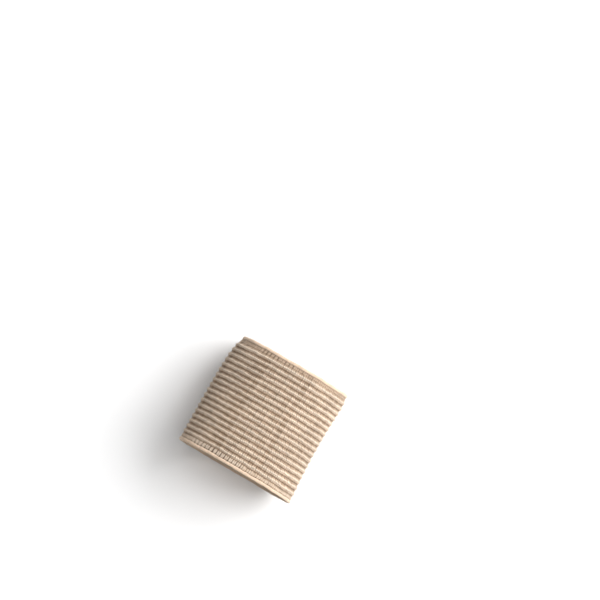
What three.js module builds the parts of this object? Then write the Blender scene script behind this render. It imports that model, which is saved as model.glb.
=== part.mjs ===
// Elastic wrist support: a ribbed knitted sleeve with a rolled edge at each end.
// It lies on its palm side, as it rests on a table, with its underside pressed flat.
// Millimetres, +Z up. +X runs from the forearm end to the hand end, +Y to the thumb side.
// The origin is on the table, under the middle of the sleeve.
import * as THREE from "three";

// The knit
const RIB_COUNT = 18;
const RIB_PITCH = 3.28;
const RIB_DEPTH = 0.9; // from crest to groove on the outside
const INNER_RIB_DEPTH = 0.35; // the same on the inside, where the skin holds it flatter
const WALL = 2.4; // from crest to crest through the wall
const CREST_FLAT = 0.24; // width of a rib's crest, as a share of the pitch
const SHOULDER_AT = 0.34; // place of a rib's shoulder, as a share of the pitch
const SHOULDER_DEPTH = 0.26; // depth of the shoulder, as a share of the rib's depth

// The ends
const EDGE_DIAMETER = 1.5;
const EDGE_DEPTH = 0.2; // how far the rolled edge lies below the crests
const EDGE_GAP = 0.3;
const HAND_STRIP = 1.15; // width of the ladder strip at the hand end
const ARM_STRIP = 2.1;
const STRIP_TOP = 0.55; // depth of the ladder strip's outer face below the crests
const STRIP_THICKNESS = 1.1;

// The form of the wrist that the sleeve is shaped to
const SQUARENESS = 0.9; // 1 is an ellipse, and less is a fuller section
const WIDEST_AT = 0.47; // height of the widest line, as a share of the section's height
const PRESS = 4; // how far the table pushes the underside in
const PRESS_BLEND = 3; // how softly the pressed face runs into the sides

// Fineness
const SEGMENTS_AROUND = 40;
const EDGE_SIDES = 8;
const LATHE_RADIUS = 30; // crest radius of the round sleeve, before it takes the wrist's form
const TANGENT_STEP = 0.01; // radians

const RIBS_LENGTH = RIB_COUNT * RIB_PITCH;
const ARM_END = EDGE_DIAMETER + EDGE_GAP + ARM_STRIP;
const HAND_END = HAND_STRIP + EDGE_GAP + EDGE_DIAMETER;
const LENGTH = ARM_END + RIBS_LENGTH + HAND_END;

// Sections of the sleeve over its crests. along: place, as a share of the length from the forearm
// end. thumbSide, littleSide: half width on either side. height: from the table to the top.
const SECTIONS = [
  { along: 0.0, thumbSide: 35.2, littleSide: 34.8, height: 51.0 },
  { along: 0.24, thumbSide: 35.4, littleSide: 33.7, height: 50.2 },
  { along: 0.5, thumbSide: 35.6, littleSide: 33.0, height: 49.2 },
  { along: 0.68, thumbSide: 35.5, littleSide: 33.1, height: 48.6 },
  { along: 0.83, thumbSide: 35.0, littleSide: 33.5, height: 48.0 },
  { along: 0.92, thumbSide: 34.1, littleSide: 33.5, height: 47.2 },
  { along: 1.0, thumbSide: 32.4, littleSide: 32.8, height: 45.8 },
];

const sectionSizes = new THREE.CubicInterpolant(
  SECTIONS.map((row) => row.along * LENGTH),
  SECTIONS.flatMap((row) => [row.thumbSide, row.littleSide, row.height]),
  3,
);

function pressed(z) {
  if (z >= PRESS_BLEND) {
    return z;
  }
  if (z <= -PRESS_BLEND) {
    return 0;
  }
  return (z + PRESS_BLEND) ** 2 / (4 * PRESS_BLEND);
}

// A point on the crest line of the section at this place, across and up
function crestPoint(along, angle) {
  const [thumbSide, littleSide, height] = sectionSizes.evaluate(along);
  const across = Math.cos(angle);
  const up = Math.sin(angle);
  const widest = WIDEST_AT * height;
  const halfWidth = across > 0 ? thumbSide : littleSide;
  const rise = up > 0 ? height - widest : widest + PRESS;
  return new THREE.Vector2(
    halfWidth * Math.sign(across) * Math.abs(across) ** SQUARENESS,
    pressed(widest + rise * Math.sign(up) * Math.abs(up) ** SQUARENESS),
  );
}

// A point of the wall at this depth below the crest line
function wallPoint(along, angle, depth) {
  const before = crestPoint(along, angle - TANGENT_STEP);
  const after = crestPoint(along, angle + TANGENT_STEP);
  const tangent = after.sub(before).normalize();
  const inward = new THREE.Vector2(-tangent.y, tangent.x);
  const point = crestPoint(along, angle).addScaledVector(inward, depth);
  return new THREE.Vector3(along, point.x, point.y);
}

// Turns a closed outline, of points [along, depth], round the wrist
function aroundWrist(outline) {
  const profile = outline.map(([along, depth]) => new THREE.Vector2(LATHE_RADIUS - depth, along));
  profile.push(profile[0].clone());
  const geometry = new THREE.LatheGeometry(profile, SEGMENTS_AROUND);
  const position = geometry.attributes.position;
  for (let i = 0; i < position.count; i += 1) {
    const [x, y, z] = [position.getX(i), position.getY(i), position.getZ(i)];
    const point = wallPoint(y, Math.atan2(x, z), LATHE_RADIUS - Math.hypot(x, z));
    position.setXYZ(i, point.x, point.y, point.z);
  }
  geometry.computeVertexNormals();
  return geometry;
}

// The outside of the sleeve, from the forearm end to the hand end
function ribsOutline() {
  const outline = [];
  for (let rib = 0; rib < RIB_COUNT; rib += 1) {
    const middle = ARM_END + (rib + 0.5) * RIB_PITCH;
    outline.push([middle - RIB_PITCH / 2, RIB_DEPTH]);
    outline.push([middle - SHOULDER_AT * RIB_PITCH, SHOULDER_DEPTH * RIB_DEPTH]);
    outline.push([middle - (CREST_FLAT / 2) * RIB_PITCH, 0]);
    outline.push([middle + (CREST_FLAT / 2) * RIB_PITCH, 0]);
    outline.push([middle + SHOULDER_AT * RIB_PITCH, SHOULDER_DEPTH * RIB_DEPTH]);
  }
  outline.push([ARM_END + RIBS_LENGTH, RIB_DEPTH]);
  return outline;
}

// The inside, from the hand end back to the forearm end
function innerOutline() {
  const outline = [];
  for (let rib = RIB_COUNT - 1; rib >= 0; rib -= 1) {
    const start = ARM_END + rib * RIB_PITCH;
    outline.push([start + RIB_PITCH, WALL - INNER_RIB_DEPTH]);
    outline.push([start + RIB_PITCH / 2, WALL]);
  }
  outline.push([ARM_END, WALL - INNER_RIB_DEPTH]);
  return outline;
}

function sleeveGeometry() {
  const armTip = ARM_END - ARM_STRIP;
  const handTip = ARM_END + RIBS_LENGTH + HAND_STRIP;
  const stripBottom = STRIP_TOP + STRIP_THICKNESS;
  return aroundWrist([
    [armTip, stripBottom],
    [armTip, STRIP_TOP],
    ...ribsOutline(),
    [handTip, STRIP_TOP],
    [handTip, stripBottom],
    ...innerOutline(),
  ]);
}

function edgeGeometry(middle) {
  const radius = EDGE_DIAMETER / 2;
  const outline = [];
  for (let side = 0; side < EDGE_SIDES; side += 1) {
    const turn = ((side + 0.5) / EDGE_SIDES) * 2 * Math.PI;
    outline.push([middle - radius * Math.cos(turn), EDGE_DEPTH + radius - radius * Math.sin(turn)]);
  }
  return aroundWrist(outline);
}

function piece(name, geometry, colour, roughness) {
  const material = new THREE.MeshStandardMaterial({ color: colour, roughness, metalness: 0 });
  const mesh = new THREE.Mesh(geometry, material);
  mesh.name = name;
  return mesh;
}

const wristSupport = new THREE.Group();
wristSupport.add(piece("ribbed_sleeve", sleeveGeometry(), 0xdcc4a8, 0.9));
wristSupport.add(piece("arm_edge", edgeGeometry(EDGE_DIAMETER / 2), 0xeed9c2, 0.85));
wristSupport.add(piece("hand_edge", edgeGeometry(LENGTH - EDGE_DIAMETER / 2), 0xeed9c2, 0.85));
const middle = new THREE.Box3().setFromObject(wristSupport).getCenter(new THREE.Vector3());
wristSupport.position.set(-middle.x, -middle.y, 0);

export default wristSupport;
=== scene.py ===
# %% [markdown]
# # A ribbed elastic wrist support
#
# The real thing is a short knitted tube. Elastic ribs run round the wrist, a narrow ladder strip
# runs along each end, and a rolled edge closes each end off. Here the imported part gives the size
# and place of every piece, and Blender adds what a solid can't show: the stitches of each rib, the
# rungs of the ladder strips, the yarn wound round the edges, and the look of the yarn itself.

# %% Load the frame
import math

import bpy
import numpy as np
from mathutils import Matrix, Vector


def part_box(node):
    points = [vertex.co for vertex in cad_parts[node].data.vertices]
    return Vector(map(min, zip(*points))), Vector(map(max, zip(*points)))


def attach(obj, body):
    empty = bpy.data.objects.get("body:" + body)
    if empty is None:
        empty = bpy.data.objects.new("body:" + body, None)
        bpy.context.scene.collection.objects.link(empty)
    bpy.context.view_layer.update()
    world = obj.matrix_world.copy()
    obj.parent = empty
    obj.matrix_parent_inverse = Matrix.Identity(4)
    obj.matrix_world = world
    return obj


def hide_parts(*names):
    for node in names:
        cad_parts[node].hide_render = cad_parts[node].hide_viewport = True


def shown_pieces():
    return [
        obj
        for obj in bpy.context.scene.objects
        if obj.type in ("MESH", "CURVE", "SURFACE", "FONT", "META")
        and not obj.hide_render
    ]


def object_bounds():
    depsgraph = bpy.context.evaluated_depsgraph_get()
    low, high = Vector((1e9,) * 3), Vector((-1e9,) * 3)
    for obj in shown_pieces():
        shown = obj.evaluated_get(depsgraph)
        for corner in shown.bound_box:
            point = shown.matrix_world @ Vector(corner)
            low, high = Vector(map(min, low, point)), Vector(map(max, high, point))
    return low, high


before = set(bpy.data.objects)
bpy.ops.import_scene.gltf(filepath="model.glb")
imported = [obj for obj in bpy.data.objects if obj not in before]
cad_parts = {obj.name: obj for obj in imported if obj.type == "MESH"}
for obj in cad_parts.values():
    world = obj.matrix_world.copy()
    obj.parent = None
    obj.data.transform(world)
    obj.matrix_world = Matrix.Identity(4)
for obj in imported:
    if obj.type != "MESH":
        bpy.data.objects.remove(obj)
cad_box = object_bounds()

MM = 0.001
bpy.ops.object.select_all(action="DESELECT")
print("frame holds", sorted(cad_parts))

# %% [markdown]
# ## The sizes of the knit
#
# Stitches are easiest to place on the flat knit, as it looks when it is cut open and laid out:
# one direction runs along the sleeve, one runs around it, and the third is the depth under the
# crests of the ribs. So the sizes come first, in those three directions.

# %% Sizes of the knit
RIB_COUNT = 18
RIB_PITCH = 3.28 * MM
WALL = 2.4 * MM
EDGE_DIAMETER = 1.5 * MM
EDGE_DEPTH = 0.2 * MM
EDGE_GAP = 0.3 * MM
HAND_STRIP = 1.15 * MM
ARM_STRIP = 2.1 * MM

RIBS_LENGTH = RIB_COUNT * RIB_PITCH
ARM_END = EDGE_DIAMETER + EDGE_GAP + ARM_STRIP
HAND_END = HAND_STRIP + EDGE_GAP + EDGE_DIAMETER
LENGTH = ARM_END + RIBS_LENGTH + HAND_END
print(f"sleeve is {LENGTH / MM:.1f} mm long, with ribs over {RIBS_LENGTH / MM:.1f} mm")

# %% [markdown]
# ## Rolling the flat knit round the wrist
#
# A wrist is an oval that changes along its length, so a plain bend would not do. A short table
# gives the oval at a few places, a smooth line runs through its rows, and the underside is pressed
# flat where the sleeve lies. Every point of the flat knit then has one place on the wall, and the
# same function rolls up the ground, the stitches and the edges, so that they always fit.

# %% The wrist's sections
SECTION_ROWS = [
    {"along": 0.00, "thumb": 35.2, "little": 34.8, "height": 51.0},
    {"along": 0.24, "thumb": 35.4, "little": 33.7, "height": 50.2},
    {"along": 0.50, "thumb": 35.6, "little": 33.0, "height": 49.2},
    {"along": 0.68, "thumb": 35.5, "little": 33.1, "height": 48.6},
    {"along": 0.83, "thumb": 35.0, "little": 33.5, "height": 48.0},
    {"along": 0.92, "thumb": 34.1, "little": 33.5, "height": 47.2},
    {"along": 1.00, "thumb": 32.4, "little": 32.8, "height": 45.8},
]
SQUARENESS = 0.9
WIDEST_AT = 0.47
PRESS = 4.0 * MM
PRESS_BLEND = 3.0 * MM
SECTION_PLACES = np.array([row["along"] for row in SECTION_ROWS]) * LENGTH


def smooth_line(column, at):
    """A cubic through a column of the table, with the slopes of the rows beside each row."""
    values = np.array([row[column] for row in SECTION_ROWS]) * MM
    slopes = np.gradient(values, SECTION_PLACES)
    last = len(SECTION_PLACES) - 2
    i = np.clip(np.searchsorted(SECTION_PLACES, at, side="right") - 1, 0, last)
    gap = SECTION_PLACES[i + 1] - SECTION_PLACES[i]
    t = (at - SECTION_PLACES[i]) / gap
    start = (2 * t**3 - 3 * t**2 + 1) * values[i] + (t**3 - 2 * t**2 + t) * gap * slopes[i]
    end = (3 * t**2 - 2 * t**3) * values[i + 1] + (t**3 - t**2) * gap * slopes[i + 1]
    return start + end


def pressed(z):
    """Heights with the table pushing up from below, softly at its rim."""
    rim = (np.clip(z, -PRESS_BLEND, PRESS_BLEND) + PRESS_BLEND) ** 2 / (4 * PRESS_BLEND)
    return np.where(z > PRESS_BLEND, z, rim)


def crest(along, angle):
    """The crest line of the section at this place, as distances across and up."""
    height = smooth_line("height", along)
    across, up = np.cos(angle), np.sin(angle)
    widest = WIDEST_AT * height
    half = np.where(across > 0, smooth_line("thumb", along), smooth_line("little", along))
    rise = np.where(up > 0, height - widest, widest + PRESS)
    y = half * np.sign(across) * np.abs(across) ** SQUARENESS
    z = pressed(widest + rise * np.sign(up) * np.abs(up) ** SQUARENESS)
    return y, z


# %% Equal steps round the wrist
ROUND_SAMPLES = 4001
ANGLES = np.linspace(0, 2 * math.pi, ROUND_SAMPLES)
middle_y, middle_z = crest(np.full(ANGLES.shape, LENGTH / 2), ANGLES)
steps = np.hypot(np.diff(middle_y), np.diff(middle_z))
WALKED = np.concatenate([[0], np.cumsum(steps)])
ROUND = WALKED[-1]
TANGENT_STEP = 0.01

first_rib, last_rib = ARM_END + RIB_PITCH / 2, LENGTH - HAND_END - RIB_PITCH / 2
rib_places = np.linspace(first_rib, last_rib, RIB_COUNT)
sides = crest(rib_places[:, None], ANGLES[None, :])[0]
low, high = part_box("ribbed_sleeve")
SIDE_SHIFT = (low.y + high.y) / 2 - (sides.min() + sides.max()) / 2
print(f"the sleeve measures {ROUND / MM:.1f} mm round its middle")
print(f"the frame sits {SIDE_SHIFT / MM:.2f} mm to the side of the wrist's own middle")

# %% [markdown]
# ## The pull of the wrist
#
# A worn knit never has ribs as straight as ruled lines. Towards the hand they are drawn back, most
# of all on the thumb side. At the forearm the last few crowd together, but on the little finger's
# side they spread out again. Slow waves on top of that keep them from looking machined. The pull
# moves points of the flat knit along the sleeve, so that the ground, the stitches and the edges all
# follow it together.

# %% Pulling the flat knit
HAND_PULL = 0.2 * MM
THUMB_PULL = 1.0 * MM
HAND_PULL_CURVE = 1.3
ARM_PULL = 0.4 * MM
LITTLE_EASE = 0.9 * MM
ARM_PULL_REACH = 3.5 * RIB_PITCH
ARM_EDGE_SHARE = 0.4
WAVES = [
    {"round": 6, "along": 2.3, "size": 0.06, "start": 0.10},
    {"round": 11, "along": -5.2, "size": 0.05, "start": 0.62},
    {"round": 17, "along": 7.4, "size": 0.04, "start": 0.35},
    {"round": 27, "along": -9.7, "size": 0.04, "start": 0.81},
    {"round": 41, "along": 13.1, "size": 0.04, "start": 0.23},
]


def pulled(along, turn, angle):
    """Places along the sleeve after the wrist has pulled the knit about."""
    to_hand = np.clip((along - ARM_END) / RIBS_LENGTH, 0, 1) ** HAND_PULL_CURVE
    hand_hold = np.clip((LENGTH - EDGE_DIAMETER - along) / (HAND_END - EDGE_DIAMETER), 0, 1)
    back = (HAND_PULL + THUMB_PULL * np.clip(np.cos(angle), 0, 1)) * to_hand * hand_hold
    from_arm = np.clip((along - ARM_END) / ARM_PULL_REACH, 0, 1)
    arm_hold = np.interp(along, (EDGE_DIAMETER, ARM_END), (ARM_EDGE_SHARE, 1))
    arm_pull = ARM_PULL - LITTLE_EASE * np.clip(-np.cos(angle), 0, 1)
    forward = arm_pull * (1 - from_arm) ** 2 * arm_hold
    place = along + forward - back
    for wave in WAVES:
        phase = wave["round"] * turn + wave["along"] * along / LENGTH + wave["start"]
        place = place + wave["size"] * MM * np.sin(2 * math.pi * phase)
    return place


def roll(flat):
    """Rolls points of the flat knit (along, around, height over the crests) round the wrist."""
    around, depth = flat[..., 1] % ROUND, -flat[..., 2]
    angle = np.interp(around, WALKED, ANGLES)
    along = pulled(flat[..., 0], around / ROUND, angle)
    y_before, z_before = crest(along, angle - TANGENT_STEP)
    y_after, z_after = crest(along, angle + TANGENT_STEP)
    y, z = crest(along, angle)
    dy, dz = y_after - y_before, z_after - z_before
    size = np.hypot(dy, dz)
    across = y - dz / size * depth + SIDE_SHIFT
    return np.stack([along - LENGTH / 2, across, z + dy / size * depth], axis=-1)


print(f"the waves move a rib by {sum(wave['size'] for wave in WAVES):.2f} mm at most")

# %% [markdown]
# ## The waves of the ribs
#
# Elastic threads draw the knit together at every groove, so that it swells out between them. The
# stitches therefore lie on a wavy skin. Going up a rib and down again is longer than going straight
# on, so a table gives the place on the sleeve for every length walked along the skin. That keeps
# the stitches equally large on the crests and on the flanks.

# %% The skin that the stitches lie on
SKIN_CREST = 0.40 * MM
RIB_FALL = 0.85 * MM
SKIN_GROOVE = SKIN_CREST + RIB_FALL


def skin_depth(along):
    """Depth of the stitches' middle: waves over the ribs, and as deep as a groove past them."""
    ribs_passed = (along - ARM_END) / RIB_PITCH
    wave = SKIN_CREST + RIB_FALL * np.cos(math.pi * ribs_passed) ** 2
    return np.where((ribs_passed > 0) & (ribs_passed < RIB_COUNT), wave, SKIN_GROOVE)


SKIN_SAMPLES = 12001
ALONG = np.linspace(-EDGE_DIAMETER, LENGTH + EDGE_DIAMETER, SKIN_SAMPLES)
SKIN = skin_depth(ALONG)
SKIN_SLOPE = np.gradient(SKIN, ALONG)
SKIN_WALKED = np.concatenate([[0], np.cumsum(np.hypot(np.diff(ALONG), np.diff(SKIN)))])
SKIN_START = np.interp(ARM_END, ALONG, SKIN_WALKED)
RIB_SKIN = np.interp(ARM_END + RIB_PITCH, ALONG, SKIN_WALKED) - SKIN_START


def lie_on_skin(points):
    """Takes points of the stretched-out knit (skin length, around, lift) to the flat knit."""
    along = np.interp(points[..., 0] + SKIN_START, SKIN_WALKED, ALONG)
    slope = np.interp(along, ALONG, SKIN_SLOPE)
    lean = np.sqrt(1 + slope**2)
    height = points[..., 2] / lean - np.interp(along, ALONG, SKIN)
    return np.stack([along + points[..., 2] * slope / lean, points[..., 1], height], axis=-1)


print(f"the skin of a rib is {RIB_SKIN / MM:.2f} mm long over a pitch of {RIB_PITCH / MM:.2f} mm")

# %% [markdown]
# ## The ground of the knit
#
# Under the stitches lies the ground: the elastic threads and the thin web that holds them. It shows
# deep in the grooves, in the ladder strips and on the inside. It could be a tube with a Solidify
# modifier, but its outside and its inside have different ribs. So a flat grid is added, its rows
# take a closed outline of the wall, its columns go once round the wrist, and its two seams are
# merged.

# %% The outline of the ground
GROUND_UNDER = 0.3 * MM
STRIP_DEPTH = 0.9 * MM
STRIP_BOTTOM = 1.3 * MM
INNER_RIB_DEPTH = 0.45 * MM
OUTER_ROWS = 6
INNER_ROWS = 6
GROUND_COLUMNS = 200


def ground_outline():
    """(along, depth) round the wall: along the outside to the hand end, and back inside."""
    ends = (EDGE_DIAMETER / 2, LENGTH - EDGE_DIAMETER / 2)
    outer_places = ARM_END + np.arange(RIB_COUNT * OUTER_ROWS + 1) / OUTER_ROWS * RIB_PITCH
    outside = [(place, skin_depth(place) + GROUND_UNDER) for place in outer_places[1:-1]]
    outside = [(ends[0], STRIP_DEPTH), (ARM_END, STRIP_DEPTH), *outside]
    outside += [(LENGTH - HAND_END, STRIP_DEPTH), (ends[1], STRIP_DEPTH)]
    inside = [(ends[1], STRIP_BOTTOM)]
    for row in range(RIB_COUNT * INNER_ROWS, -1, -1):
        share = row / INNER_ROWS
        fall = np.cos(math.pi * share) ** 2
        inside.append((ARM_END + share * RIB_PITCH, WALL - fall * INNER_RIB_DEPTH))
    inside.append((ends[0], STRIP_BOTTOM))
    return np.array(outside + inside), len(outside)


# %% Rolling up a closed outline
MERGE_DISTANCE = 0.001 * MM


def put_attribute(mesh, name, values):
    """Keeps one number for each point of a mesh, for its material to read."""
    layer = mesh.attributes.new(name, "FLOAT", "POINT")
    layer.data.foreach_set("value", np.ascontiguousarray(values, dtype=np.float32).ravel())


def roll_up(name, outline, columns, facts):
    """A closed ring: the rows of a flat grid follow the outline, and its columns go round."""
    rows = len(outline)
    bpy.ops.object.select_all(action="DESELECT")
    bpy.ops.mesh.primitive_grid_add(x_subdivisions=columns, y_subdivisions=rows, size=1)
    ring = bpy.context.object
    ring.name = ring.data.name = name
    co = np.zeros(len(ring.data.vertices) * 3, np.float32)
    ring.data.vertices.foreach_get("co", co)
    on_grid = co.reshape(-1, 3) - co.min()
    column = np.rint(on_grid[:, 0] * columns).astype(int) % columns
    row = np.rint(on_grid[:, 1] * rows).astype(int) % rows
    flat = np.stack([outline[row, 0], column / columns * ROUND, -outline[row, 1]], axis=-1)
    ring.data.vertices.foreach_set("co", roll(flat).astype(np.float32).ravel())
    for fact, values in facts.items():
        put_attribute(ring.data, fact, np.asarray(values, float)[row])
    bpy.ops.object.mode_set(mode="EDIT")
    bpy.ops.mesh.select_all(action="SELECT")
    bpy.ops.mesh.remove_doubles(threshold=MERGE_DISTANCE)
    bpy.ops.mesh.normals_make_consistent(inside=False)
    bpy.ops.object.mode_set(mode="OBJECT")
    bpy.ops.object.shade_smooth()
    return ring


# %% Make the ground
outline, outside_count = ground_outline()
on_inside = np.arange(len(outline)) >= outside_count
in_ribs = (outline[:, 0] - ARM_END) / RIB_PITCH
under_rib = (in_ribs > 0) & (in_ribs < RIB_COUNT)
# How high the ground rises under a crest. The ground is painted darker the lower it lies, and darkest
# in the strips, as painted shade; the inside keeps its own pale colour.
swell = np.where(under_rib, (SKIN_GROOVE + GROUND_UNDER - outline[:, 1]) / RIB_FALL, 0)
painted_shade_and_inside = np.where(on_inside, 1, swell / 2)
ground = roll_up("ground_knit", outline, GROUND_COLUMNS, {"painted_shade_and_inside": painted_shade_and_inside, "ribs": in_ribs})
print("ground has", len(ground.data.polygons), "faces")

# %% [markdown]
# ## One strand of yarn
#
# A knitted stitch shows as a V with two legs. A leg comes up from under the stitch before it, runs
# along the sleeve, leans away from its twin and dives under the next stitch. One leg is modelled by
# hand on the stretched-out knit: a small disc is added at its foot, and it is extruded and scaled
# from station to station. A leg is repeated thousands of times, so it has few sides and rings. A
# curve with a bevel would also do, but this way each ring is where it is wanted. The ends of a
# strand lie deep in the wall, and there they are squeezed, so that none comes out on the inside.

# %% Modelling a strand
def model_strand(stations, sides, flatness):
    """One strand through stations of (along, around, lift, radius), modelled lying flat."""
    points = [Vector((s["along"], s["around"], s["lift"])) for s in stations]
    reach = points[-1] - points[0]
    heading = math.atan2(reach.y, reach.x)
    bpy.ops.object.select_all(action="DESELECT")
    bpy.ops.mesh.primitive_circle_add(
        vertices=sides,
        radius=stations[0]["radius"],
        fill_type="NGON",
        location=points[0],
        rotation=(math.pi / 2, 0, heading + math.pi / 2),
    )
    strand = bpy.context.object
    bpy.ops.object.transform_apply(location=True, rotation=True, scale=True)
    bpy.ops.object.mode_set(mode="EDIT")
    bpy.ops.mesh.select_all(action="SELECT")
    bpy.ops.transform.resize(value=(1, 1, flatness), center_override=points[0])
    for i in range(1, len(points)):
        step = points[i] - points[i - 1]
        bpy.ops.mesh.extrude_region_move(TRANSFORM_OT_translate={"value": step})
        grow = stations[i]["radius"] / stations[i - 1]["radius"]
        bpy.ops.transform.resize(value=(grow, grow, grow), center_override=points[i])
    bpy.ops.mesh.select_all(action="SELECT")
    bpy.ops.mesh.normals_make_consistent(inside=False)
    bpy.ops.object.mode_set(mode="OBJECT")
    return take_template(strand, heading)


def take_template(model, heading):
    """Reads a modelled strand's points and faces for copying, and takes it out of the scene.

    Rolling the knit up mirrors it, so the faces are kept turned round and end up facing outwards.
    """
    points = np.array([v.co for v in model.data.vertices])
    faces = [list(p.vertices)[::-1] for p in model.data.polygons]
    run = points[:, 0] * math.cos(heading) + points[:, 1] * math.sin(heading)
    offset = points[:, 1] * math.cos(heading) - points[:, 0] * math.sin(heading)
    mesh = model.data
    bpy.data.objects.remove(model)
    bpy.data.meshes.remove(mesh)
    return {
        "points": points,
        "faces": faces,
        "lay": (run - run.min()) / (run.max() - run.min()),
        "side": (offset - offset.mean()) / np.abs(offset - offset.mean()).max(),
    }


# %% Keeping strands in the wall
INSIDE_PLACES, INSIDE_DEPTHS = outline[outside_count:][::-1].T
HIDDEN_LAYER = 0.4 * MM
HIDDEN_SQUEEZE = 0.3


def stay_in_wall(flat):
    """Squeezes what lies deep in the wall, so that no strand comes out on the inside."""
    free = np.interp(flat[..., 0], INSIDE_PLACES, INSIDE_DEPTHS) - HIDDEN_LAYER
    too_deep = np.clip(-flat[..., 2] - free, 0, None)
    height = flat[..., 2] + too_deep * (1 - HIDDEN_SQUEEZE)
    return np.stack([flat[..., 0], flat[..., 1], height], axis=-1)


def lie_in_rib(points):
    """Takes stitches to the skin of the ribs, with their ends in the wall."""
    return stay_in_wall(lie_on_skin(points))


print(f"the inside lies {INSIDE_DEPTHS.min() / MM:.2f} to {INSIDE_DEPTHS.max() / MM:.2f} mm deep")

# %% Copying strands over the knit
def lay_copies(name, batches, lie=None):
    """One joined mesh of strands. A batch is a template, with the shift and tone of each copy."""
    all_points, all_faces, tones, lays, across = [], [], [], [], []
    start = 0
    for template, shifts, tone in batches:
        each = len(template["points"])
        all_points.append((template["points"][None] + shifts[:, None]).reshape(-1, 3))
        for copy in range(len(shifts)):
            first = start + copy * each
            all_faces += [[first + corner for corner in face] for face in template["faces"]]
        start += each * len(shifts)
        tones.append(np.repeat(tone, each))
        lays.append(np.tile(template["lay"], len(shifts)))
        across.append(np.tile(template["side"], len(shifts)))
    flat = np.concatenate(all_points)
    if lie:
        flat = lie(flat)
    mesh = bpy.data.meshes.new(name)
    mesh.from_pydata(roll(flat), [], all_faces)
    put_attribute(mesh, "tone", np.concatenate(tones))
    put_attribute(mesh, "lay", np.concatenate(lays))
    put_attribute(mesh, "side", np.concatenate(across))
    # How deep each point lies: the yarn's colour is darkened by it, as painted shade in the grooves.
    put_attribute(mesh, "sunk", np.clip(-flat[:, 2] / SKIN_GROOVE, 0, 1))
    mesh.shade_smooth()
    piece = bpy.data.objects.new(name, mesh)
    bpy.context.scene.collection.objects.link(piece)
    return piece


# %% [markdown]
# ## The stitches of the ribs
#
# Each rib is three courses of stitches high, and every course goes once round the wrist. The two
# legs of a stitch are modelled once and copied to every stitch, with small seeded differences in
# place and tone, because no two stitches of a worn knit lie quite alike. Some columns of stitches
# lie a little deeper all along the sleeve, as they do where the knit is stretched.

# %% The two legs of a stitch
WALES = 78
COURSES = 3
WALE = ROUND / WALES
COURSE = RIB_SKIN / COURSES
LEG_ROWS = [
    {"up": -0.42, "out": 0.08, "lift": -0.34, "radius": 0.22},
    {"up": -0.12, "out": 0.13, "lift": -0.05, "radius": 0.57},
    {"up": 0.33, "out": 0.21, "lift": 0.09, "radius": 0.69},
    {"up": 0.75, "out": 0.29, "lift": 0.05, "radius": 0.65},
    {"up": 1.04, "out": 0.36, "lift": -0.19, "radius": 0.49},
    {"up": 1.27, "out": 0.43, "lift": -0.43, "radius": 0.21},
]
LEG_SIDES = 6
LEG_FLATNESS = 0.45


def leg(side):
    """The leg of a stitch on one side of its middle."""
    return model_strand(
        [
            {
                "along": row["up"] * COURSE,
                "around": side * row["out"] * WALE,
                "lift": row["lift"] * MM,
                "radius": row["radius"] * MM,
            }
            for row in LEG_ROWS
        ],
        LEG_SIDES,
        LEG_FLATNESS,
    )


thumb_leg, little_leg = leg(-1), leg(1)
print("one leg has", len(thumb_leg["faces"]), "faces")

# %% Knit the ribs
SEED = 18
WANDER = 0.08 * MM
SINK = 0.09 * MM
# Columns that lie deeper also take more of the yarn's painted shade.
WALE_SINK = 0.16 * MM
TENSION_CURVE = 4
FIRST_COURSE = 0.1
rng = np.random.default_rng(SEED)
wale_tension = rng.uniform(0, 1, WALES) ** TENSION_CURVE


def scatter(along):
    """Shifts for a row of stitches, one on each column, and a tone for each."""
    shifts = np.zeros((WALES, 3))
    shifts[:, 0] = along + rng.normal(0, WANDER, WALES)
    shifts[:, 1] = np.arange(WALES) * WALE + rng.normal(0, WANDER, WALES)
    shifts[:, 2] = -rng.uniform(0, SINK, WALES) - wale_tension * WALE_SINK
    return shifts, rng.uniform(0, 1, WALES)


ribs = []
for number in range(RIB_COUNT):
    batches = []
    for course in range(COURSES):
        shifts, tone = scatter((number * COURSES + course + FIRST_COURSE) * COURSE)
        batches.append((thumb_leg, shifts, tone))
        batches.append((little_leg, shifts, tone))
    ribs.append(lay_copies(f"rib_{number + 1:02d}", batches, lie_in_rib))
print(len(ribs), "ribs of", len(ribs[0].data.polygons), "faces each")

# %% [markdown]
# ## The ladder strips
#
# Between the last rib and the edge the knit is open: strands cross a darker strip like the rungs of a
# ladder, two on every column of stitches, closer together at the edge than at the rib. The strip's
# dark is painted shade on the ground, and the rungs are painted darker the lower they lie. A rung is
# the same modelled strand with other stations. At the forearm the rungs swell up between two dark
# lines, and at the hand they lie low. The strips are stretched most on the back of the wrist, towards
# the thumb: there the rungs are thin and dark gaps show. Further round they are fat, flat and a
# little lower, so that they close up to a plain band.

# %% The rungs
RUNG_TUCK = 0.45 * MM
HAND_RUNG_ROWS = [
    {"share": 0.00, "depth": 1.20, "spread": 0.34, "radius": 0.18},
    {"share": 0.20, "depth": 0.97, "spread": 0.31, "radius": 0.29},
    {"share": 0.45, "depth": 1.00, "spread": 0.29, "radius": 0.31},
    {"share": 0.70, "depth": 1.02, "spread": 0.26, "radius": 0.29},
    {"share": 1.00, "depth": 1.20, "spread": 0.24, "radius": 0.18},
]
ARM_RUNG_ROWS = [
    {"share": 0.00, "depth": 1.05, "spread": 0.34, "radius": 0.18},
    {"share": 0.17, "depth": 0.80, "spread": 0.31, "radius": 0.29},
    {"share": 0.41, "depth": 0.58, "spread": 0.29, "radius": 0.33},
    {"share": 0.62, "depth": 0.76, "spread": 0.27, "radius": 0.29},
    {"share": 1.00, "depth": 1.00, "spread": 0.24, "radius": 0.18},
]
RUNG_LEAN = 0.12


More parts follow.
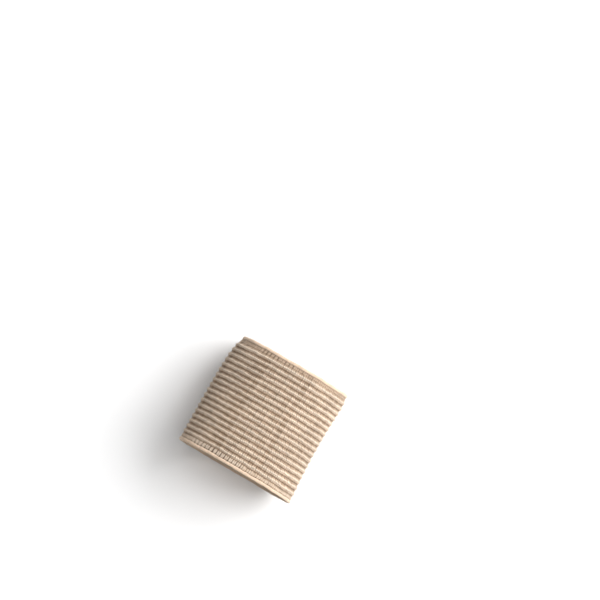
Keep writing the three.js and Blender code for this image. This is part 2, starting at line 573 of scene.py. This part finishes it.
def rung(rows, start, end, side, size, sink):
    """A strand on one side of its column, from the rib to the edge."""
    run = end - start
    spread = side * size["fat"] * MM
    return model_strand(
        [
            {
                "along": start + row["share"] * run,
                "around": row["spread"] * spread + RUNG_LEAN * row["share"] * run,
                "lift": -(row["depth"] + sink) * MM,
                "radius": row["radius"] * size["fat"] * MM,
            }
            for row in rows
        ],
        LEG_SIDES,
        size["flatness"],
    )


# %% Lay the rungs
RUNG_SIZES = [
    {"fat": 1.72, "flatness": 0.46},
    {"fat": 1.88, "flatness": 0.43},
    {"fat": 2.00, "flatness": 0.40},
    {"fat": 2.20, "flatness": 0.36},
]
STRETCH_RIM = (0.7, 1.3)
STRETCH_UNEVEN = 0.3
RUNG_UNEVEN = 0.25
MIDDLE_TONE = 0.5
ARM_STRETCH = {"middle": 0.17, "reach": 0.09, "sink": 0.22}
HAND_STRETCH = {"middle": 0.18, "reach": 0.07, "sink": 0.03}


def rungs(name, rows, start, end, stretch):
    """The rungs of one strip, thinnest on the columns where it is stretched most."""
    turns = np.arange(WALES) / WALES
    away = np.abs(turns - stretch["middle"]) / stretch["reach"]
    grade = np.interp(away, STRETCH_RIM, (0, 1))
    grade = grade + rng.uniform(-STRETCH_UNEVEN, STRETCH_UNEVEN, WALES)
    fattest = len(RUNG_SIZES) - 1
    size_number = np.rint(np.clip(grade, 0, 1) * fattest)
    batches = []
    for side in (-1, 1):
        shifts, tone = scatter(0.0)
        shifts[:, 2] *= RUNG_UNEVEN
        tone = MIDDLE_TONE + (tone - MIDDLE_TONE) * RUNG_UNEVEN
        for number, size in enumerate(RUNG_SIZES):
            sink = stretch["sink"] * number / fattest
            template = rung(rows, start, end, side, size, sink)
            chosen = size_number == number
            batches.append((template, shifts[chosen], tone[chosen]))
    counts = [int((size_number == number).sum()) for number in range(len(RUNG_SIZES))]
    print(name, "has", counts, "pairs, thin to fat")
    return lay_copies(name, batches, stay_in_wall)


hand_rib_end, hand_edge_middle = LENGTH - HAND_END, LENGTH - EDGE_DIAMETER / 2
hand_rungs = rungs(
    "hand_rungs", HAND_RUNG_ROWS, hand_rib_end - RUNG_TUCK, hand_edge_middle, HAND_STRETCH
)
arm_rungs = rungs("arm_rungs", ARM_RUNG_ROWS, ARM_END + RUNG_TUCK, EDGE_DIAMETER / 2, ARM_STRETCH)

# %% [markdown]
# ## The rolled edges
#
# Each end is closed by a roll: a core with yarn wound round it, packed so closely that it reads as
# one smooth bright line. One turn of yarn is a small disc, spun round the core's middle line and
# then pressed a little wider than high, because the elastic pulls the roll flat. Its copies lean a
# little, as wound yarn does.

# %% Wind the edges
CORE_RADIUS = 0.5 * MM
CORE_SIDES = 10
WIND_RADIUS = 0.27 * MM
WINDS = 300
WIND_SPREAD = 1.45
WIND_LEAN = 0.35
WIND_STEPS = 9
WIND_ANGLE = math.radians(300)
EDGE_RADIUS = EDGE_DIAMETER / 2
ROLL_WIDTH = 1.9 * MM / EDGE_DIAMETER
ROLL_HEIGHT = 1.15 * MM / EDGE_DIAMETER


def model_turn(middle):
    """One turn of yarn round a core whose middle line runs at this place."""
    centre = Vector((middle, 0, -EDGE_DEPTH - EDGE_RADIUS))
    bpy.ops.object.select_all(action="DESELECT")
    bpy.ops.mesh.primitive_circle_add(
        vertices=LEG_SIDES,
        radius=WIND_RADIUS,
        fill_type="NGON",
        location=centre - Vector((0, 0, EDGE_RADIUS - WIND_RADIUS)),
        rotation=(0, math.pi / 2, 0),
    )
    turn = bpy.context.object
    bpy.ops.object.transform_apply(location=True, rotation=True, scale=True)
    bpy.ops.object.mode_set(mode="EDIT")
    bpy.ops.mesh.select_all(action="SELECT")
    bpy.ops.transform.resize(value=(1, WIND_SPREAD, 1), center_override=centre)
    bpy.ops.mesh.spin(steps=WIND_STEPS, angle=WIND_ANGLE, center=centre, axis=(0, 1, 0))
    bpy.ops.mesh.select_all(action="SELECT")
    top = centre + Vector((0, 0, EDGE_RADIUS))
    bpy.ops.transform.resize(value=(ROLL_WIDTH, 1, ROLL_HEIGHT), center_override=top)
    bpy.ops.mesh.normals_make_consistent(inside=False)
    bpy.ops.object.mode_set(mode="OBJECT")
    template = take_template(turn, 0.0)
    template["points"][:, 1] += WIND_LEAN * (template["points"][:, 0] - middle)
    return template


def edge_roll(name, middle):
    """The core of one edge with its yarn wound round it."""
    around = np.linspace(0, 2 * math.pi, CORE_SIDES, endpoint=False)
    core_outline = np.stack(
        [
            middle - CORE_RADIUS * ROLL_WIDTH * np.cos(around),
            EDGE_DEPTH + (EDGE_RADIUS - CORE_RADIUS * np.sin(around)) * ROLL_HEIGHT,
        ],
        axis=-1,
    )
    facts = {"tone": np.full(CORE_SIDES, MIDDLE_TONE)}
    core = roll_up(name + "_core", core_outline, GROUND_COLUMNS, facts)
    shifts = np.zeros((WINDS, 3))
    shifts[:, 1] = np.arange(WINDS) * ROUND / WINDS + rng.normal(0, WANDER / 2, WINDS)
    shifts[:, 2] = -rng.uniform(0, SINK / 2, WINDS)
    wound = lay_copies(name, [(model_turn(middle), shifts, rng.uniform(0, 1, WINDS))])
    bpy.ops.object.select_all(action="DESELECT")
    core.select_set(True)
    wound.select_set(True)
    bpy.context.view_layer.objects.active = wound
    bpy.ops.object.join()
    return wound


hand_roll = edge_roll("hand_roll", hand_edge_middle)
arm_roll = edge_roll("arm_roll", EDGE_DIAMETER / 2)
print("an edge has", len(hand_roll.data.polygons), "faces")

# %% [markdown]
# ## The yarn
#
# The knit is ecru elastic yarn: matt and a little fuzzy. The strands carry their own facts, so the
# material reads how deep a point lies, how its strand's tone differs, and where it is across the
# strand. The yarn is pale on the crests and painted brown the deeper it lies, as painted shade in the
# grooves. Fine lines along the strand stand for the plies of the yarn.

# %% Building blocks for materials
CLOTH_SPECULAR = 0.2
SHEEN_ROUGHNESS = 0.5


def new_material(name, roughness, sheen):
    """An empty cloth material, as (material, its nodes, its links, its shader)."""
    material = bpy.data.materials.new(name)
    material.use_nodes = True
    nodes, links = material.node_tree.nodes, material.node_tree.links
    shader = nodes["Principled BSDF"]
    shader.inputs["Roughness"].default_value = roughness
    shader.inputs["Specular IOR Level"].default_value = CLOTH_SPECULAR
    shader.inputs["Sheen Weight"].default_value = sheen
    shader.inputs["Sheen Roughness"].default_value = SHEEN_ROUGHNESS
    return material, nodes, links, shader


def attribute(nodes, name):
    """A fact that the mesh carries for each of its points."""
    node = nodes.new("ShaderNodeAttribute")
    node.attribute_name = name
    return node.outputs["Fac"]


def noise(nodes, links, vector, scale, detail):
    """Soft random blots, smaller at a larger scale."""
    node = nodes.new("ShaderNodeTexNoise")
    node.inputs["Scale"].default_value = scale
    node.inputs["Detail"].default_value = detail
    links.new(vector, node.inputs["Vector"])
    return node.outputs["Fac"]


def ramp(nodes, links, value, stops):
    """A colour for every value, by stops of (value, colour)."""
    node = nodes.new("ShaderNodeValToRGB")
    elements = node.color_ramp.elements
    while len(elements) < len(stops):
        elements.new(1)
    for element, (place, colour) in zip(elements, stops):
        element.position = place
        element.color = (*colour, 1)
    links.new(value, node.inputs["Fac"])
    return node.outputs["Color"]


def maths(nodes, links, operation, first, second, third=0.0):
    """A sum on numbers and on the values of other nodes."""
    node = nodes.new("ShaderNodeMath")
    node.operation = operation
    for socket, value in zip(node.inputs, (first, second, third)):
        if isinstance(value, (int, float)):
            socket.default_value = value
        else:
            links.new(value, socket)
    return node.outputs["Value"]


def multiply(nodes, links, colour, by):
    """A colour made lighter or darker by a value."""
    node = nodes.new("ShaderNodeMix")
    node.data_type = "RGBA"
    node.blend_type = "MULTIPLY"
    node.inputs["Factor"].default_value = 1
    links.new(colour, node.inputs["A"])
    links.new(by, node.inputs["B"])
    return node.outputs["Result"]


def bump(nodes, links, height, distance, shader):
    """Gives a shader's surface a fine relief."""
    node = nodes.new("ShaderNodeBump")
    node.inputs["Strength"].default_value = 1
    node.inputs["Distance"].default_value = distance
    links.new(height, node.inputs["Height"])
    links.new(node.outputs["Normal"], shader.inputs["Normal"])


# %% The yarn of ribs, rungs and edges
YARN_ROUGHNESS = 0.85
YARN_SHEEN = 0.25
PATCHES = {"scale": 70, "detail": 2}
LUMPS = {"scale": 320, "detail": 1}
SPECKS = {"scale": 2600, "detail": 2}
YARN_SHARES = {"base": 0.52, "strand": 0.16, "patches": 0.46, "lumps": 0.22, "specks": 0.14}
PLIES_ACROSS = 2.6
PLIES_ALONG = 0.9
PLIES_APART = 90.0
PLIES = {"scale": 1.6, "detail": 1}


def yarn_material(name, stops, ply_depth):
    """Yarn painted darker the deeper it lies, as painted shade, with plies, speckle and uneven tone.
    """
    material, nodes, links, shader = new_material(name, YARN_ROUGHNESS, YARN_SHEEN)
    place = nodes.new("ShaderNodeTexCoord").outputs["Object"]
    patches = noise(nodes, links, place, **PATCHES)
    lumps = noise(nodes, links, place, **LUMPS)
    specks = noise(nodes, links, place, **SPECKS)
    tone, side, lay = [attribute(nodes, fact) for fact in ("tone", "side", "lay")]
    light = maths(nodes, links, "MULTIPLY_ADD", tone, YARN_SHARES["strand"], YARN_SHARES["base"])
    light = maths(nodes, links, "MULTIPLY_ADD", patches, YARN_SHARES["patches"], light)
    light = maths(nodes, links, "MULTIPLY_ADD", lumps, YARN_SHARES["lumps"], light)
    light = maths(nodes, links, "MULTIPLY_ADD", specks, YARN_SHARES["specks"], light)
    # Painted shade: the colour falls from the crest colour towards brown the deeper a point lies.
    colour_with_painted_shade = ramp(nodes, links, attribute(nodes, "sunk"), stops)
    links.new(multiply(nodes, links, colour_with_painted_shade, light), shader.inputs["Base Color"])
    plies = nodes.new("ShaderNodeCombineXYZ")
    links.new(maths(nodes, links, "MULTIPLY", side, PLIES_ACROSS), plies.inputs["X"])
    links.new(maths(nodes, links, "MULTIPLY", lay, PLIES_ALONG), plies.inputs["Y"])
    links.new(maths(nodes, links, "MULTIPLY", tone, PLIES_APART), plies.inputs["Z"])
    lines = noise(nodes, links, plies.outputs["Vector"], **PLIES)
    bump(nodes, links, lines, ply_depth, shader)
    return material


# %% The colours of the yarn
# The yarn runs from the crest colour to the flank and deep colours as it lies deeper. That darkening
# is painted shade in the grooves, on the rungs' lower sides and under the rolls.
CREST_COLOUR = (0.605, 0.495, 0.392)
FLANK_SHADE_COLOUR = (0.435, 0.318, 0.225)
DEEP_SHADE_COLOUR = (0.212, 0.135, 0.080)
EDGE_COLOUR = (0.63, 0.487, 0.364)
RIB_SHADE_STOPS = [(0.0, CREST_COLOUR), (0.28, CREST_COLOUR), (0.55, FLANK_SHADE_COLOUR), (0.85, DEEP_SHADE_COLOUR)]
RUNG_SHADE_STOPS = [(0.0, CREST_COLOUR), (0.36, CREST_COLOUR), (0.70, FLANK_SHADE_COLOUR), (0.95, DEEP_SHADE_COLOUR)]
EDGE_SHADE_STOPS = [(0.0, EDGE_COLOUR), (0.75, EDGE_COLOUR), (1.0, FLANK_SHADE_COLOUR)]
KNIT_PLY_DEPTH = 0.12 * MM
EDGE_PLY_DEPTH = 0.06 * MM

rib_yarn = yarn_material("rib_yarn", RIB_SHADE_STOPS, KNIT_PLY_DEPTH)
rung_yarn = yarn_material("rung_yarn", RUNG_SHADE_STOPS, KNIT_PLY_DEPTH)
edge_yarn = yarn_material("edge_yarn", EDGE_SHADE_STOPS, EDGE_PLY_DEPTH)
print("yarns:", rib_yarn.name, rung_yarn.name, edge_yarn.name)

# %% [markdown]
# ## The ground's finish
#
# The outside of the ground only shows between the stitches. Its colour there is painted shade: brown
# in the grooves and the ladder strips, and paler under the crests. The inside is the plain back of
# the knit: a pale face with rows of small loops, which a bump made of two slanting waves can give.
# The waves follow the grid's own map, which has a clean seam where the ring closes.

# %% The ground material
GROUND_ROUGHNESS = 0.9
GROUND_SHEEN = 0.2
GROUND_SHARES = {"base": 0.80, "patches": 0.25, "specks": 0.16}
# Painted shade: the ground's outside runs from dark brown in the grooves and strips to a paler web
# under the crests.
GROUND_SHADE_COLOUR = (0.155, 0.105, 0.068)
WEB_COLOUR = (0.47, 0.365, 0.27)
INSIDE_COLOUR = (0.60, 0.475, 0.36)
GROUND_STOPS = [(0.0, GROUND_SHADE_COLOUR), (0.5, WEB_COLOUR), (1.0, INSIDE_COLOUR)]
LOOP_DEPTH = 0.1 * MM
LOOPS_ROUND = 2 * WALES


def ground_material():
    """The web under the stitches, painted brown to pale by its depth as shade, with the loops of the
    inside.
    """
    material, nodes, links, shader = new_material("ground", GROUND_ROUGHNESS, GROUND_SHEEN)
    place = nodes.new("ShaderNodeTexCoord").outputs["Object"]
    patches = noise(nodes, links, place, **PATCHES)
    specks = noise(nodes, links, place, **SPECKS)
    shares = GROUND_SHARES
    light = maths(nodes, links, "MULTIPLY_ADD", patches, shares["patches"], shares["base"])
    light = maths(nodes, links, "MULTIPLY_ADD", specks, shares["specks"], light)
    colour = ramp(nodes, links, attribute(nodes, "painted_shade_and_inside"), GROUND_STOPS)
    links.new(multiply(nodes, links, colour, light), shader.inputs["Base Color"])
    map_node = nodes.new("ShaderNodeUVMap")
    map_node.uv_map = "UVMap"
    split = nodes.new("ShaderNodeSeparateXYZ")
    links.new(map_node.outputs["UV"], split.inputs["Vector"])
    turns = maths(nodes, links, "MULTIPLY", split.outputs["X"], 2 * math.pi * LOOPS_ROUND)
    rows = maths(nodes, links, "MULTIPLY", attribute(nodes, "ribs"), 2 * math.pi * COURSES)
    loops = maths(nodes, links, "SINE", maths(nodes, links, "ADD", turns, rows), 0)
    cross = maths(nodes, links, "SINE", maths(nodes, links, "SUBTRACT", turns, rows), 0)
    bump(nodes, links, maths(nodes, links, "MAXIMUM", loops, cross), LOOP_DEPTH, shader)
    return material


ground_yarn = ground_material()
print("the inside has", LOOPS_ROUND, "loops round")

# %% Give out the materials
finishes = [
    (ground_yarn, [ground]),
    (rib_yarn, ribs),
    (rung_yarn, [hand_rungs, arm_rungs]),
    (edge_yarn, [hand_roll, arm_roll]),
]
for material, pieces in finishes:
    for piece in pieces:
        piece.data.materials.append(material)
    print(material.name, "is on", len(pieces), "pieces")

# %% [markdown]
# ## What each piece stands for
#
# The pieces are tied to the imported part: each rides on its body. The sleeve's solid and the two
# edges of the imported part are hidden, so that the ground shows in place of the solid and each roll
# in place of its edge. The ground goes as far round as the sleeve's middle.

# %% Tie the pieces to the frame
stitches = [*ribs, hand_rungs, arm_rungs]
for piece in [ground, *stitches]:
    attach(piece, "root")
for piece, node in [(hand_roll, "hand_edge"), (arm_roll, "arm_edge")]:
    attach(piece, "root")
    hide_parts(node)
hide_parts("ribbed_sleeve")
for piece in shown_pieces():
    piece.data.calc_loop_triangles()
triangles = [len(piece.data.loop_triangles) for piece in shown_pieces()]
print(len(triangles), "pieces with", sum(triangles), "triangles, at most", max(triangles), "in one")

# %% [markdown]
# ## Floor, light and camera
#
# The sleeve lies on a plain pale floor. A wide lamp stands off the hand end, on the little finger's
# side, low enough to draw the ribs. A second one hangs above and keeps the shadow light, and an
# even pale sky fills the rest. The camera looks down on the back of the wrist from a little to the
# forearm's side, turned so that the sleeve runs up to the right.

# %% Floor
FLOOR_SIZE = 8.0
FLOOR_COLOUR = (0.9, 0.9, 0.9, 1)
FLOOR_ROUGHNESS = 0.9
FLOOR_SPECULAR = 0.1
bpy.ops.object.select_all(action="DESELECT")
bpy.ops.mesh.primitive_plane_add(size=FLOOR_SIZE, location=(0, 0, 0))
floor = bpy.context.object
floor.name = "floor"
floor_paint = bpy.data.materials.new("floor_paint")
floor_paint.use_nodes = True
floor_shader = floor_paint.node_tree.nodes["Principled BSDF"]
floor_shader.inputs["Base Color"].default_value = FLOOR_COLOUR
floor_shader.inputs["Roughness"].default_value = FLOOR_ROUGHNESS
floor_shader.inputs["Specular IOR Level"].default_value = FLOOR_SPECULAR
floor.data.materials.append(floor_paint)

# %% Light
SKY_STRENGTH = 0.13
sky = bpy.data.worlds.new("sky")
sky.use_nodes = True
sky.node_tree.nodes["Background"].inputs["Color"].default_value = (1, 1, 1, 1)
sky.node_tree.nodes["Background"].inputs["Strength"].default_value = SKY_STRENGTH
bpy.context.scene.world = sky
bpy.context.scene.view_settings.view_transform = "Standard"

sleeve_middle = (cad_box[0] + cad_box[1]) / 2
KEY_WAY = Vector((0.56, -0.63, 0.54))
KEY_DISTANCE = 2.4
KEY_SIZE = 2.6
KEY_POWER = 124
TOP_WAY = Vector((0, 0, 1))
TOP_DISTANCE = 1.8
TOP_SIZE = 1.6
TOP_POWER = 18


def wide_lamp(name, way, distance, size, power):
    """A soft square lamp that looks at the sleeve from this way, and isn't seen itself."""
    bpy.ops.object.light_add(type="AREA", location=sleeve_middle + way.normalized() * distance)
    lamp = bpy.context.object
    lamp.name = name
    lamp.data.size = size
    lamp.data.energy = power
    lamp.rotation_euler = (-way).to_track_quat("-Z", "Y").to_euler()
    lamp.visible_camera = False


wide_lamp("key_lamp", KEY_WAY, KEY_DISTANCE, KEY_SIZE, KEY_POWER)
wide_lamp("top_lamp", TOP_WAY, TOP_DISTANCE, TOP_SIZE, TOP_POWER)
print("lamps of", KEY_POWER, "and", TOP_POWER, "W under a sky of", SKY_STRENGTH)

# %% Camera
PICTURE_SIZE = 600
PICTURE_PLACE = Vector((264.25, 418.0))
PICTURE_SLOPE = math.radians(59.8)
PIXEL = 0.541 * MM
CAMERA_DISTANCE = 2.4
CAMERA_LEAN = math.radians(2.4)
SENSOR = 36.0

focal = CAMERA_DISTANCE / PIXEL
half = PICTURE_SIZE / 2
seen = Vector((PICTURE_PLACE.x - half, half - PICTURE_PLACE.y, -focal)).normalized()
slope = Vector((math.cos(PICTURE_SLOPE), math.sin(PICTURE_SLOPE), 0))
share = slope.dot(seen)
pull = math.cos(CAMERA_LEAN) / math.sqrt(1 - share**2)
axis_seen = slope * pull + seen * (math.sin(CAMERA_LEAN) - pull * share)
look = Vector((math.sin(CAMERA_LEAN), 0, -math.cos(CAMERA_LEAN)))


def frame_of(forward, sideways):
    """A turning whose columns are a direction, one square to it, and their cross product."""
    second = (sideways - forward * sideways.dot(forward)).normalized()
    return Matrix((forward, second, forward.cross(second))).transposed()


turning = frame_of(look, Vector((1, 0, 0))) @ frame_of(seen, axis_seen).transposed()
widest = Vector((0, 0, WIDEST_AT * (cad_box[1].z - cad_box[0].z)))
lens = bpy.data.cameras.new("camera")
lens.sensor_width = SENSOR
lens.lens = SENSOR * focal / PICTURE_SIZE
camera = bpy.data.objects.new("camera", lens)
bpy.context.scene.collection.objects.link(camera)
camera.matrix_world = Matrix.Translation(widest - look * CAMERA_DISTANCE) @ turning.to_4x4()
bpy.context.scene.camera = camera
print(f"lens {lens.lens:.0f} mm, camera at {[round(x, 3) for x in camera.location]}")
